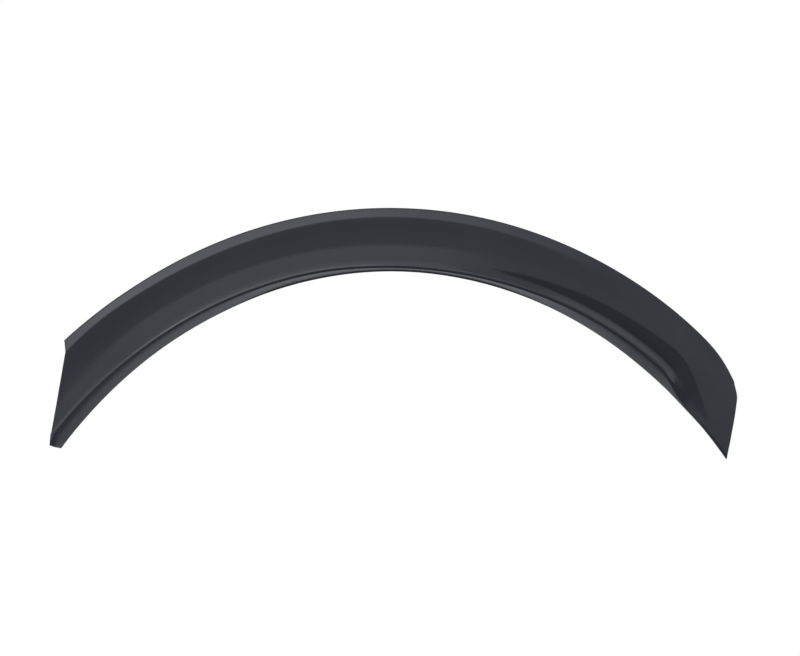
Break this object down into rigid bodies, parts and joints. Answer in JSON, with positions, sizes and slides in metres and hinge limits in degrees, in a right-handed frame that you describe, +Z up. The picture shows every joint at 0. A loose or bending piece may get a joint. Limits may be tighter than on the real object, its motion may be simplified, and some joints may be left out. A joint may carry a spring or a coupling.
{
  "type": "wheel arch trim",
  "caption": "Curved moulded trim that covers the edge of a car's wheel opening, with a beaded lip, a turned-in flange, a shallow scoop near one end and fixings on its back.",
  "frame": {"origin": "axis of the crown locating pin, in the plane of the car's body panel", "axes": "+X along the car toward the pointed end with the scoop, +Y into the car body along the locating pins, +Z up; the wheel opening is below"},
  "size_m": [0.6995, 0.0411, 0.256],
  "materials": {
    "trim": "satin black moulded polypropylene"
  },
  "bodies": {
    "root": {"arch_trim": "trim"}
  },
  "joints": []
}
